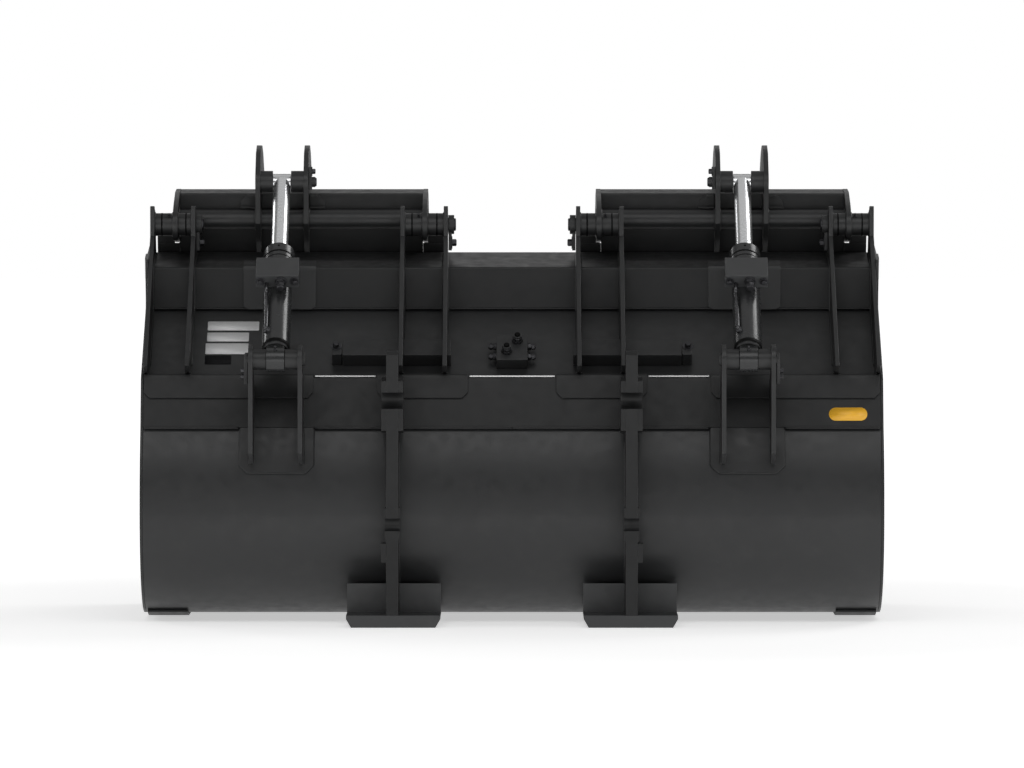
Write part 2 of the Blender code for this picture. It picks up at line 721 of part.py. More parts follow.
def build():
    paint = material("black_paint", (0.030, 0.031, 0.033), 0.42, 0.0)
    steel = material("cutting_edge_steel", (0.045, 0.045, 0.047), 0.38, 0.6)
    chrome = material("rod_chrome", (0.80, 0.81, 0.83), 0.12, 1.0)
    painted = [shell(), beam("lower_beam", LOW_BEAM), beam("upper_beam", HIGH_BEAM), valve_block()]
    bare = [cutting_edge()]
    shiny = []
    for side_name, side in SIDES:
        painted.append(side_plate(f"side_plate_{side_name}", side))
        bare.append(side_cutter(f"side_cutter_{side_name}", side))
        spans = {"outer": (0.735, 1.3605), "inner": (0.163, 0.499)}
        for where, span in spans.items():
            ends = sorted(side * x for x in span)
            painted.append(doubler(f"beam_doubler_{where}_{side_name}", *ends))
        bosses = (1.3190, 1.2275, 0.3770, 0.2825)
        for i, (x, boss_to) in enumerate(zip(EAR_X, bosses), 1):
            ear = hinge_ear(f"hinge_ear_{side_name}_{i}", side, x, boss_to)
            if i > 2:
                cut(ear, guard_window(f"guard_window_{side_name}_{i}", side))
            painted.append(ear)
        painted.append(hinge_pin(f"hinge_pin_outer_{side_name}", side, 1.3600, 1.1905, -1))
        painted.append(hinge_pin(f"hinge_pin_inner_{side_name}", side, 0.4190, 0.2400, -1))
        painted.append(coupler_hook(f"coupler_hook_{side_name}", side))
        painted.append(coupler_foot(f"coupler_foot_{side_name}", side))
        painted.append(cylinder_clevis(f"cylinder_clevis_{side_name}", side))
        painted.append(base_pin(f"base_pin_{side_name}", side))
        painted.append(hose_guard(f"hose_guard_{side_name}", side))
        painted += clamp(side_name, side)
        housing, rod = cylinder(side_name, side)
        painted += housing
        shiny.append(rod)
    for looks, objects in ((paint, painted), (steel, bare), (chrome, shiny)):
        for obj in objects:
            finish(obj, looks)


for old in list(bpy.data.objects):
    bpy.data.objects.remove(old)
parts = collection("loader_grapple_bucket")
cutters = collection("cutters")
build()
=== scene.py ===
"""Looks of the loader grapple bucket: paint, wear, fasteners, fittings, labels and welds.

Metres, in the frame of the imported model. Side positions are pairs (y, z), with y
measured from the rearmost line of the bucket's shell and z from the ground.
"""

import json
import math

import bmesh
import bpy
from mathutils import Matrix, Vector


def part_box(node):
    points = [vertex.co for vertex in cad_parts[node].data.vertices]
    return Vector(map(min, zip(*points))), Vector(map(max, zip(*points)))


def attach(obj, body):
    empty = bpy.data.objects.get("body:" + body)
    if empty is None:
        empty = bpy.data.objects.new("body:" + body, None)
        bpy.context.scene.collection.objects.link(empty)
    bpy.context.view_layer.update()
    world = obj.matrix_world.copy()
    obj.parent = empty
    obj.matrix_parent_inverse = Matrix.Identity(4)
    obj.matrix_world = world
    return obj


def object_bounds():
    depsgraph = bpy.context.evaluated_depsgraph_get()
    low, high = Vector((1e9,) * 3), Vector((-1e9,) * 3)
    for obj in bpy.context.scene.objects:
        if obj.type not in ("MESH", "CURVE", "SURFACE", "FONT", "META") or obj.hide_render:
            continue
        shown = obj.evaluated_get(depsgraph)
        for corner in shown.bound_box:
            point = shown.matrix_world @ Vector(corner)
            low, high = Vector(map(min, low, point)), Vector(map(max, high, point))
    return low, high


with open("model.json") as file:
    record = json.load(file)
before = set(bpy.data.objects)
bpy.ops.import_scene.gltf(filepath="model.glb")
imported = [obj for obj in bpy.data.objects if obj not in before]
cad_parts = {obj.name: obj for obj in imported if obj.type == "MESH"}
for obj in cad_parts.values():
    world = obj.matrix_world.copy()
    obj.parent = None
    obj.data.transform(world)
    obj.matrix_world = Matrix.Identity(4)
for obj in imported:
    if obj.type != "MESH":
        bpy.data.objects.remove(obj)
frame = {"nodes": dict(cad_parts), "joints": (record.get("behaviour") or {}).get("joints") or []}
cad_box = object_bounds()

# The frame's own dimensions
JOINTS = {joint["name"]: joint for joint in frame["joints"]}
SHELL_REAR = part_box("shell")[0].y
SIDES = (("left", -1), ("right", 1))


def from_shell(point):
    """A frame point's (y, z), with y from the shell's rearmost line."""
    return point[1] - SHELL_REAR, point[2]


HINGE = from_shell(JOINTS["clamp_left_hinge"]["pos_m"])
BASE_PIN = from_shell(JOINTS["cylinder_left_pivot"]["pos_m"])
CYLINDER_X = JOINTS["clamp_right_hinge"]["pos_m"][0]
CYLINDER_AXIS = Vector(JOINTS["rod_left_slide"]["axis"])
BACK_RISE = math.radians(37.0)
BACK_FOOT = (0.263, 0.941)  # where the back becomes straight
UP_BACK = (math.cos(BACK_RISE), math.sin(BACK_RISE))
OFF_BACK = (-UP_BACK[1], UP_BACK[0])


# Camera, light and floor

CAMERA_AIM = Vector((0.0, SHELL_REAR, 0.89))
CAMERA_DISTANCE = 27.8
CAMERA_RISE = math.radians(2.0)
CAMERA_LENS = 265.6  # mm, on a sensor 36 mm wide

FLOOR_REACH = 60.0
FLOOR_DROP = 0.0004  # below the object's lowest faces
FLOOR_NEAR, FLOOR_FAR = 2.5, 8.0  # from the object's middle, where the floor's own light grows
FLOOR_GLOW = (0.50, 1.0)  # at those distances

SKY_ON_OBJECT, SKY_IN_VIEW = 0.16, 1.0
MIDDLE = (0, 0, 0.8)
HEEL_MIDDLE = (0, 0, 0.25)
LAMPS = (  # name, place, aim, size, watts
    ("key", (0, -9.0, 9.5), MIDDLE, (14, 6), 400),
    ("top", (0, 1.5, 9.0), MIDDLE, (10, 5), 46),
    ("left_side", (-11, -3, 4), MIDDLE, (3, 6), 160),
    ("right_side", (11, -3, 4), MIDDLE, (3, 6), 160),
    ("low_rear", (0, -8.0, 0.7), HEEL_MIDDLE, (12, 0.8), 25),
    ("front", (0, 9.0, 6.0), MIDDLE, (8, 3), 55),
    ("front_left", (-9.0, 8.0, 4.6), MIDDLE, (4, 4), 200),
    ("front_right", (6.5, 5.5, 8.5), MIDDLE, (4, 4), 200),
)


def make_camera():
    made = bpy.data.objects.new("camera", bpy.data.cameras.new("camera"))
    made.data.lens = CAMERA_LENS
    made.data.sensor_width = 36.0
    made.data.clip_end = 200.0
    back = Vector((0, -math.cos(CAMERA_RISE), math.sin(CAMERA_RISE)))
    made.location = CAMERA_AIM + back * CAMERA_DISTANCE
    made.rotation_euler = (math.radians(90) - CAMERA_RISE, 0, 0)
    bpy.context.scene.collection.objects.link(made)
    bpy.context.scene.camera = made


def make_floor():
    """A wide pale floor, brighter far from the object, so that it meets the backdrop unseen."""
    work = bmesh.new()
    bmesh.ops.create_grid(work, x_segments=1, y_segments=1, size=FLOOR_REACH)
    mesh = bpy.data.meshes.new("floor")
    work.to_mesh(mesh)
    work.free()
    floor = bpy.data.objects.new("floor", mesh)
    floor.location = (0, 0, cad_box[0].z - FLOOR_DROP)
    bpy.context.scene.collection.objects.link(floor)
    paper = Look("floor_paper", Base_Color=(0.90, 0.90, 0.90, 1), Roughness=0.9, Specular_IOR_Level=0.1)
    paper.shader.inputs["Emission Color"].default_value = (1, 1, 1, 1)
    distance = paper.tree.nodes.new("ShaderNodeVectorMath")
    distance.operation = "LENGTH"
    paper.tree.links.new(paper.place, distance.inputs[0])
    glow = paper.spread(distance.outputs["Value"], FLOOR_NEAR, FLOOR_FAR, *FLOOR_GLOW)
    paper.plug(paper.shader.inputs["Emission Strength"], glow)
    mesh.materials.append(paper.material)


def make_sky():
    """A white world, dim on the object and bright where the camera sees it."""
    world = bpy.data.worlds.new("studio")
    world.use_nodes = True
    tree = world.node_tree
    sky = tree.nodes["Background"]
    sky.inputs["Color"].default_value = (1.0, 1.0, 1.0, 1)
    seen = tree.nodes.new("ShaderNodeLightPath")
    strength = tree.nodes.new("ShaderNodeMapRange")
    strength.inputs["To Min"].default_value = SKY_ON_OBJECT
    strength.inputs["To Max"].default_value = SKY_IN_VIEW
    tree.links.new(seen.outputs["Is Camera Ray"], strength.inputs["Value"])
    tree.links.new(strength.outputs["Result"], sky.inputs["Strength"])
    bpy.context.scene.world = world
    bpy.context.scene.view_settings.view_transform = "Standard"


def make_lamps():
    for name, place, aim, size, watts in LAMPS:
        data = bpy.data.lights.new(name, "AREA")
        data.shape = "RECTANGLE"
        data.size, data.size_y = size
        data.energy = watts
        made = bpy.data.objects.new(name, data)
        made.location = place
        made.rotation_euler = (Vector(aim) - Vector(place)).to_track_quat("-Z", "Y").to_euler()
        made.visible_camera = False
        bpy.context.scene.collection.objects.link(made)


# Materials


class Look:
    """A material with a Principled BSDF and short ways to add nodes to it."""

    def __init__(self, name, **settings):
        self.material = bpy.data.materials.new(name)
        self.material.use_nodes = True
        self.tree = self.material.node_tree
        self.shader = self.tree.nodes["Principled BSDF"]
        for key, value in settings.items():
            self.shader.inputs[key.replace("_", " ")].default_value = value
        self.place = self.tree.nodes.new("ShaderNodeTexCoord").outputs["Object"]

    def node(self, kind, **inputs):
        made = self.tree.nodes.new(kind)
        for key, value in inputs.items():
            self.plug(made.inputs[key.replace("_", " ")], value)
        return made

    def plug(self, socket, value):
        if isinstance(value, bpy.types.NodeSocket):
            self.tree.links.new(value, socket)
        else:
            socket.default_value = value

    def noise(self, scale, detail=2.0, roughness=0.5, stretch=None):
        vector = self.place
        if stretch:
            mapping = self.node("ShaderNodeMapping", Vector=self.place)
            mapping.inputs["Scale"].default_value = stretch
            vector = mapping.outputs["Vector"]
        made = self.node("ShaderNodeTexNoise", Vector=vector, Scale=scale, Detail=detail, Roughness=roughness)
        return made.outputs["Fac"]

    def spread(self, value, low, high, to_low=0.0, to_high=1.0):
        """value from low..high to to_low..to_high, held at both ends."""
        made = self.node("ShaderNodeMapRange", Value=value)
        for key, number in (("From Min", low), ("From Max", high), ("To Min", to_low), ("To Max", to_high)):
            made.inputs[key].default_value = number
        return made.outputs["Result"]

    def math(self, operation, a, b):
        made = self.tree.nodes.new("ShaderNodeMath")
        made.operation = operation
        self.plug(made.inputs[0], a)
        self.plug(made.inputs[1], b)
        return made.outputs["Value"]

    def mix(self, share, first, second):
        made = self.tree.nodes.new("ShaderNodeMix")
        made.data_type = "RGBA"
        self.plug(made.inputs["Factor"], share)
        self.plug(made.inputs["A"], first)
        self.plug(made.inputs["B"], second)
        return made.outputs["Result"]

    def rounded_normal(self, radius):
        """The normal that the surface would have if its edges were rounded."""
        rounded = self.tree.nodes.new("ShaderNodeBevel")
        rounded.samples = 6
        rounded.inputs["Radius"].default_value = radius
        return rounded.outputs["Normal"]

    def edges(self, radius, low, high):
        """Near 1 along sharp edges, 0 on flat faces."""
        flat = self.tree.nodes.new("ShaderNodeNewGeometry")
        dot = self.tree.nodes.new("ShaderNodeVectorMath")
        dot.operation = "DOT_PRODUCT"
        self.tree.links.new(self.rounded_normal(radius), dot.inputs[0])
        self.tree.links.new(flat.outputs["Normal"], dot.inputs[1])
        return self.spread(self.math("SUBTRACT", 1.0, dot.outputs["Value"]), low, high)

    def bump(self, height, distance, strength=1.0, edge_radius=0.0):
        made = self.node("ShaderNodeBump", Height=height)
        made.inputs["Distance"].default_value = distance
        made.inputs["Strength"].default_value = strength
        if edge_radius:
            self.tree.links.new(self.rounded_normal(edge_radius), made.inputs["Normal"])
        self.tree.links.new(made.outputs["Normal"], self.shader.inputs["Normal"])

    def colour(self, value):
        self.plug(self.shader.inputs["Base Color"], value)

    def rough(self, value):
        self.plug(self.shader.inputs["Roughness"], value)


RUBBED_GREY = 0.17  # paint worn off an edge
SCUFF_GREY = 0.16


def grey(value, tint=0.0):
    return (value * (1 - tint), value, value * (1 + tint), 1)


def dimmed(tone, share):
    return tuple(c * share for c in tone[:3]) + (1,)


def painted(name, shade, rough=(0.36, 0.50), wear=0.35, scuffs=0.0, gloss=0.5):
    """Satin paint over steel: slow colour drift, orange peel, dust, rubbed edges and scuffs."""
    look = Look(name, Specular_IOR_Level=gloss)
    drift = look.spread(look.noise(2.3, 3), 0.3, 0.7)
    base = look.mix(drift, grey(shade * 0.90, 0.03), grey(shade * 1.10, 0.03))
    dust = look.spread(look.noise(9.0, 5, 0.6), 0.52, 0.78, 0.0, 0.30)
    base = look.mix(dust, base, grey(shade * 1.9, -0.02))
    patches = look.spread(look.noise(38, 4), 0.42, 0.66)
    rubbed = look.math("MULTIPLY", look.edges(0.0035, 0.03, 0.30), patches)
    base = look.mix(look.math("MULTIPLY", rubbed, wear), base, grey(RUBBED_GREY))
    if scuffs:
        streaks = look.noise(14.0, 6, 0.7, (1.0, 9.0, 9.0))
        base = look.mix(look.spread(streaks, 0.70, 0.76, 0.0, scuffs), base, grey(SCUFF_GREY))
    look.colour(base)
    look.rough(look.spread(look.noise(24, 4), 0.3, 0.7, *rough))
    look.bump(look.noise(260, 2), 0.00035, 0.5, edge_radius=0.0022)
    return look.material


def bare_steel(name, shade):
    """Worn steel with marks drawn out along Y, as digging leaves them."""
    look = Look(name, Metallic=0.55)
    worn = look.spread(look.noise(6.0, 5, 0.6), 0.40, 0.66)
    look.colour(look.mix(worn, grey(shade), grey(shade * 2.2)))
    look.rough(look.spread(look.noise(30, 4), 0.3, 0.7, 0.32, 0.52))
    look.bump(look.noise(120, 3, 0.6, (1.0, 0.15, 1.0)), 0.0004, 0.5, edge_radius=0.002)
    return look.material


def chrome(name):
    """Hard chrome with fine grinding lines across the rod."""
    look = Look(name, Metallic=1.0)
    lines = look.noise(900, 2, 0.5, (0.05, 1.0, 1.0))
    haze = look.spread(look.noise(7.0, 4), 0.35, 0.7)
    look.colour(look.mix(haze, grey(0.96, 0.01), grey(0.90, 0.01)))
    look.rough(look.spread(lines, 0.3, 0.7, 0.20, 0.32))
    look.bump(lines, 0.00002, 0.4)
    return look.material


def plated(name, tone, rough=(0.30, 0.46)):
    """Plated steel of bolts, unions and lines."""
    look = Look(name, Metallic=0.9)
    stains = look.spread(look.noise(90, 4), 0.35, 0.65)
    look.colour(look.mix(stains, tone, dimmed(tone, 0.7)))
    look.rough(look.spread(look.noise(160, 3), 0.3, 0.7, *rough))
    look.bump(look.noise(700, 2), 0.0001, 0.4, edge_radius=0.0012)
    return look.material


def film(name, tone, rough=(0.35, 0.55), coat=0.25, gloss=0.5):
    """A plastic film label, blank apart from faint wear."""
    look = Look(name, Coat_Weight=coat, Coat_Roughness=0.2, Specular_IOR_Level=gloss)
    worn = look.spread(look.noise(60, 5, 0.65), 0.55, 0.75, 0.0, 0.5)
    look.colour(look.mix(worn, tone, dimmed(tone, 0.8)))
    look.rough(look.spread(look.noise(45, 3), 0.3, 0.7, *rough))
    look.bump(look.noise(300, 2), 0.00008, 0.3)
    return look.material


PAINT = painted("satin_black", 0.016)
SHELL_PAINT = painted("satin_black_shell", 0.020, (0.34, 0.46), 0.3, scuffs=0.5)
CASTING = painted("satin_black_casting", 0.020, (0.42, 0.58), 0.5)
# the darkest satin black, painted shade: on the beam welds, the channel's web and the deck wings
SHADE_PAINT = painted("satin_black_painted_shade", 0.010, (0.45, 0.6), 0.25)
# a darker, less glossy copy of the satin black: painted shade on the beams, doublers, channel and coupler
# hooks
SHADED_BEAM_PAINT = painted("satin_black_beam_painted_shade", 0.010, (0.40, 0.54), gloss=0.40)
# a lighter, glossier copy of the satin black on the barrels: the lighter colour is painted light
LIT_BARREL_PAINT = painted("satin_black_barrel_painted_light", 0.026, (0.20, 0.30), 0.3)
# a much lighter copy of the satin black on the port blocks and coupler feet: painted light
LIT_BLOCK_PAINT = painted("satin_black_block_painted_light", 0.044, (0.36, 0.48), 0.4)
# near-black with little sheen: rubber of the wiper, seals and caps, and painted shade in the gland's grooves
# and wrench holes and under the barrel's base
RUBBER_AND_SHADE = painted("seal_black_and_painted_shade", 0.003, (0.5, 0.6), 0.0, gloss=0.08)
EDGE = bare_steel("cutting_steel", 0.06)
CHROME = chrome("hard_chrome")
PLATED = plated("black_plated", (0.075, 0.075, 0.08, 1))
LINE = plated("painted_line", (0.11, 0.11, 0.115, 1), (0.22, 0.34))
# white film of the labels, also the painted highlight bead on the lower beam's bend
WHITE_FILM_AND_HIGHLIGHT = film("label_white_and_painted_highlight", (0.94, 0.94, 0.94, 1))
DARK_FILM = film("label_dark", (0.008, 0.008, 0.009, 1), (0.60, 0.75), 0.0, gloss=0.15)
AMBER_FILM = film("film_amber", (0.95, 0.50, 0.03, 1))

LOOK_OF = (  # the starts of nodes' names, and their look; the rest are in PAINT
    (("shell",), SHELL_PAINT),
    # these take the painted-shade copy of the satin black
    (("lower_beam", "upper_beam", "beam_doubler", "channel", "coupler_hook"), SHADED_BEAM_PAINT),
    (("cutting_edge", "side_cutter"), EDGE),
    (("rod_left", "rod_right"), CHROME),
    # the barrels take the painted-light copy of the satin black
    (("barrel",), LIT_BARREL_PAINT),
    # the port blocks and coupler feet take the painted-light copy of the satin black
    (("port_block", "coupler_foot"), LIT_BLOCK_PAINT),
    (("valve_block", "hose_guard", "base_pin", "hinge_pin", "rod_pin"), CASTING),
)
NODE_EDGE = 0.0018  # the frame's nodes have their edges rounded to this radius


def round_edges(obj, radius, sharp_from):
    """Rounds the edges that turn more than sharp_from degrees, and smooths the shading over facets."""
    rounded = obj.modifiers.new("edge_radius", "BEVEL")
    rounded.width = radius
    rounded.segments = 2
    rounded.limit_method = "ANGLE"
    rounded.angle_limit = math.radians(sharp_from)
    obj.modifiers.new("shading", "WEIGHTED_NORMAL").weight = 60


def dress_nodes():
    """Gives each node its look. The coupler feet's concave faces are left as they are triangulated."""
    for name, node in frame["nodes"].items():
        look = next((m for starts, m in LOOK_OF if name.startswith(starts)), PAINT)
        node.data.materials.clear()
        node.data.materials.append(look)
        node.modifiers.new("weld", "WELD").merge_threshold = 0.00002
        if not name.startswith("coupler_foot"):
            flat = node.modifiers.new("flat_faces", "DECIMATE")
            flat.decimate_type = "DISSOLVE"
            flat.angle_limit = math.radians(0.8)
        round_edges(node, NODE_EDGE, 32)
        node.data.shade_smooth()


# Mesh tools: shapes are drawn into a bmesh, in side positions, and then made a piece

ACROSS = Matrix(((0, 0, 1, 0), (1, 0, 0, 0), (0, 1, 0, 0), (0, 0, 0, 1)))  # outline (y, z), depth along X
UPRIGHT = Matrix(((1, 0, 0, 0), (0, 0, 1, 0), (0, 1, 0, 0), (0, 0, 0, 1)))  # outline (x, z), depth along Y
FINE_EDGE = 0.0006  # of bolts and fittings
PLATE_EDGE = 0.0015  # of plates and blocks


def join_scene(made, look, body):
    """Puts a new object at its place, riding on a body."""
    made.data.materials.append(look)
    made.location = (0, SHELL_REAR, 0)
    bpy.context.scene.collection.objects.link(made)
    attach(made, body)


def piece(name, work, look, body, edge=0.0):
    """A new object of the drawn shapes, riding on a body, with its edges rounded to a radius of edge."""
    bmesh.ops.recalc_face_normals(work, faces=work.faces)
    mesh = bpy.data.meshes.new(name)
    work.to_mesh(mesh)
    work.free()
    mesh.shade_smooth()
    made = bpy.data.objects.new(name, mesh)
    if edge:
        round_edges(made, edge, 40)
    join_scene(made, look, body)


def pipe(name, points, radius, look, body):
    """A steel line through the points, smooth at its bends."""
    curve = bpy.data.curves.new(name, "CURVE")
    curve.dimensions = "3D"
    curve.bevel_depth = radius
    curve.bevel_resolution = 4
    curve.resolution_u = 8
    curve.use_fill_caps = True
    spline = curve.splines.new("NURBS")
    spline.points.add(len(points) - 1)
    for point, place in zip(spline.points, points):
        point.co = (*place, 1)
    spline.order_u = 3
    spline.use_endpoint_u = True
    join_scene(bpy.data.objects.new(name, curve), look, body)


def facing(place, direction, turn=0.0):
    """A frame at place whose +Z points along direction."""
    turned = Vector(direction).to_track_quat("Z", "Y").to_matrix().to_4x4()
    return Matrix.Translation(place) @ turned @ Matrix.Rotation(turn, 4, "Z")


def lathe(work, profile, frame_at, steps=32, ring=False):
    """A turned shape from (radius, height) pairs; with ring, the profile closes on itself."""
    rows = []
    for radius, height in profile:
        count = steps if radius else 1
        turns = [2 * math.pi * i / steps for i in range(count)]
        rows.append([
            work.verts.new(frame_at @ Vector((radius * math.cos(a), radius * math.sin(a), height)))
            for a in turns
        ])
    pairs = list(zip(rows, rows[1:] + rows[:1])) if ring else list(zip(rows, rows[1:]))
    for low, high in pairs:
        for i in range(steps):
            j = (i + 1) % steps
            corners = (low[i % len(low)], low[j % len(low)], high[j % len(high)], high[i % len(high)])
            work.faces.new(list(dict.fromkeys(corners)))
    if not ring:
        for row in (rows[0], rows[-1]):
            if len(row) > 1:
                work.faces.new(row)


def prism(work, outline, low, high, frame_at):
    """An outline drawn out from low to high along the frame's +Z."""
    ends = [[work.verts.new(frame_at @ Vector((u, v, h))) for u, v in outline] for h in (low, high)]
    for end in ends:
        work.faces.new(end)
    for i in range(len(outline)):
        j = (i + 1) % len(outline)
        work.faces.new((ends[0][i], ends[0][j], ends[1][j], ends[1][i]))


def polygon(radius, count):
    """Corners evenly round a circle about the origin."""
    turns = [math.radians(360 / count * i) for i in range(count)]
    return [(radius * math.cos(a), radius * math.sin(a)) for a in turns]


def hexagon(across):
    return polygon(across / math.sqrt(3), 6)


def rounded_box(width, height, radius, steps=5):
    """A rectangle's outline about the origin, its corners rounded."""
    points = []
    for cx, cy, start in ((1, 1, 0), (-1, 1, 90), (-1, -1, 180), (1, -1, 270)):
        for i in range(steps + 1):
            a = math.radians(start + 90 * i / steps)
            points.append((
                cx * (width / 2 - radius) + radius * math.cos(a),
                cy * (height / 2 - radius) + radius * math.sin(a),
            ))
    return points


def arc(centre, radius, start, end, steps):
    angles = [math.radians(start + (end - start) * i / steps) for i in range(steps + 1)]
    return [(centre[0] + radius * math.cos(a), centre[1] + radius * math.sin(a)) for a in angles]


def circle_at(centre, radius, x, steps=28):
    """A circle about X, as points (x, y, z)."""
    return [(x, y, z) for y, z in arc(centre, radius, 0, 360 - 360 / steps, steps - 1)]


def beside(profile, distance):
    """The profile moved sideways, to the right of travel."""
    moved = []
    for i, here in enumerate(profile):
        before = Vector(profile[max(i - 1, 0)])
        after = Vector(profile[min(i + 1, len(profile) - 1)])
        first = (Vector(here) - before).normalized() if i else (after - Vector(here)).normalized()
        last = (after - Vector(here)).normalized() if i < len(profile) - 1 else first
        normal = Vector((first.y + last.y, -first.x - last.x)).normalized()
        reach = distance / max(0.3, normal.dot(Vector((first.y, -first.x))))
        moved.append((here[0] + normal.x * reach, here[1] + normal.y * reach))
    return moved


def bent_sheet(work, profile, x_from, x_to, thick):
    """A sheet bent along X, its thickness to the right of the profile's travel."""
    outline = list(profile) + beside(profile, thick)[::-1]
    prism(work, outline, x_from, x_to, ACROSS)


BEAD_SIDES = 8
RIPPLE = 0.006  # between a weld's ripples
SWELL = (0.90, 1.10)  # of a weld's size, at every other ripple


def bead(work, points, size=0.0042, closed=False):
    """A weld bead: a tube along the seam that swells at every other ripple."""
    path = [Vector(p) for p in points]
    if closed:
        path.append(path[0])
    stations = []
    for start, end in zip(path, path[1:]):
        count = max(1, round((end - start).length / RIPPLE))
        stations += [start.lerp(end, i / count) for i in range(count)]
    if not closed:
        stations.append(path[-1])
    rows = []
    for i, here in enumerate(stations):
        ahead = stations[(i + 1) % len(stations)] if closed or i < len(stations) - 1 else here
        behind = stations[i - 1] if closed or i else here
        matrix = facing(here, ahead - behind)
        section = polygon(size * SWELL[i % 2], BEAD_SIDES)
        rows.append([work.verts.new(matrix @ Vector((u, v, 0))) for u, v in section])
    pairs = list(zip(rows, rows[1:] + rows[:1])) if closed else list(zip(rows, rows[1:]))
    for first, second in pairs:
        shift = min(range(BEAD_SIDES), key=lambda s: (first[0].co - second[s].co).length)
        for k in range(BEAD_SIDES):
            a, b = (k + shift) % BEAD_SIDES, (k + 1 + shift) % BEAD_SIDES
            work.faces.new((first[k], first[(k + 1) % BEAD_SIDES], second[b], second[a]))
    if not closed:
        work.faces.new(rows[0])
        work.faces.new(rows[-1])


def bolt(work, place, direction, across):
    """Washer and chamfered hexagon head, turned a little, as tightening leaves it."""
    at = facing(place, direction, 0.3)
    washer, crown = across * 0.98, across * 0.47
    lathe(work, [(washer, 0), (washer, across * 0.10), (0, across * 0.10)], at)
    prism(work, hexagon(across), across * 0.10, across * 0.68, at)
    lathe(work, [(crown, across * 0.66), (crown * 0.94, across * 0.76), (0, across * 0.76)], at, 24)


def nipple(work, place, direction):
    """A grease nipple: hexagon, neck and ball."""
    at = facing(place, direction)
    prism(work, hexagon(0.011), 0, 0.005, at)
    neck = [(0.0042, 0.005), (0.0030, 0.010), (0.0030, 0.012)]
    ball = [(0.0041, 0.014), (0.0036, 0.0172), (0, 0.0185)]
    lathe(work, neck + ball, at, 16)


def union(work, place, direction, across, length):
    """A hydraulic union: body hexagon, collar, nut at its own angle and a closed end."""
    at = facing(place, direction, 0.2)
    flange, collar, tip = across * 0.62, across * 0.40, across * 0.34
    lathe(work, [(flange, 0), (flange, length * 0.12), (0, length * 0.12)], at)
    prism(work, hexagon(across), length * 0.10, length * 0.42, at)
    lathe(work, [(collar, length * 0.4), (collar, length * 0.56), (0, length * 0.56)], at, 24)
    prism(work, hexagon(across * 0.92), length * 0.54, length * 0.86, facing(place, direction, 0.7))
    lathe(work, [(collar, length * 0.84), (collar, length * 0.96), (tip, length), (0, length)], at, 24)


# Places on the bucket

LOW_BEAM = ((0.067, 0.727), (0.127, 0.914))  # foot and top bend of its sloping face
HIGH_BEAM = ((0.533, 1.157), (0.541, 1.309), (0.820, 1.361))
HOOK_X, HOOK_HALF = 0.439, 0.022
HEEL_MID, HEEL_R = (0.39, 0.414), 0.39
BACK_MID, BACK_R = (0.66, 0.414), 0.66
INSIDE_X = 1.3617  # inner faces of the side plates
EAR_X, EAR_HALF = (1.3537, 1.1995, 0.412, 0.249), 0.008
PLATE_HALF = 0.0908  # from a cylinder's middle to the plates of its clevis, and to its claws

# Places on a clamp

HUB_R = 0.043
TINE_X, TINE_HALF = (1.268, 0.328), 0.009
CLAW_X = (CYLINDER_X + PLATE_HALF, CYLINDER_X - PLATE_HALF)
TUBE, TUBE_R = (0.800, 1.485), 0.037
BAR, BAR_R = (1.451, 0.985), 0.026
ROD_PIN = (0.745, 1.627)
CHANNEL_REAR = 0.862


def on_slope(place, up, off):
    """A frame on a sloping plate: +X across, +Y up the slope, +Z away from it."""
    x, y, z = place
    return Matrix(((1, 0, 0, x), (0, up[0], off[0], y), (0, up[1], off[1], z), (0, 0, 0, 1)))


def on_back(x, along, out=0.0):
    """A frame on the straight back, along its slope from where it becomes straight."""
    y = BACK_FOOT[0] + UP_BACK[0] * along + OFF_BACK[0] * out
    z = BACK_FOOT[1] + UP_BACK[1] * along + OFF_BACK[1] * out
    return on_slope((x, y, z), UP_BACK, OFF_BACK)


def heel_y(z):
    """The rolled shell's outer face at a height."""
    if z < HEEL_MID[1]:
        return HEEL_R - math.sqrt(HEEL_R**2 - (HEEL_MID[1] - z) ** 2)
    return BACK_R - math.sqrt(BACK_R**2 - (z - BACK_MID[1]) ** 2)


# Details of the bucket


def labels():
    """Three white film labels and a dark one on the back plate, all blank."""
    low, high = 0.0005, 0.0013  # the film's faces above the plate
    corner = 0.004
    white = (  # along the back, height, width, x
        (0.248, 0.0530, 0.192, -1.0414),
        (0.182, 0.0530, 0.156, -1.0600),
        (0.112, 0.0640, 0.160, -1.0620),
    )
    work = bmesh.new()
    for along, height, width, x in white:
        prism(work, rounded_box(width, height, corner), low, high, on_back(x, along))
    piece("labels_white", work, WHITE_FILM_AND_HIGHLIGHT, "bucket")
    work = bmesh.new()
    prism(work, rounded_box(0.098, 0.052, corner), low, high, on_back(-1.0935, 0.046))
    piece("label_dark", work, DARK_FILM, "bucket")


def badge():
    """A plain amber badge with round ends on the lower beam."""
    x, share, gap = 1.2408, 0.26, 0.0004  # share of the way up the beam's face
    foot, bend = (Vector((0, *point)) for point in LOW_BEAM)
    up = (bend - foot).normalized()
    off = Vector((0, -up.z, up.y))
    place = Vector((x, 0, 0)) + foot.lerp(bend, share) + off * gap
    work = bmesh.new()
    prism(work, rounded_box(0.142, 0.050, 0.025, 9), 0, 0.0010, on_slope(place, up.yz, off.yz))
    piece("badge_amber", work, AMBER_FILM, "bucket")


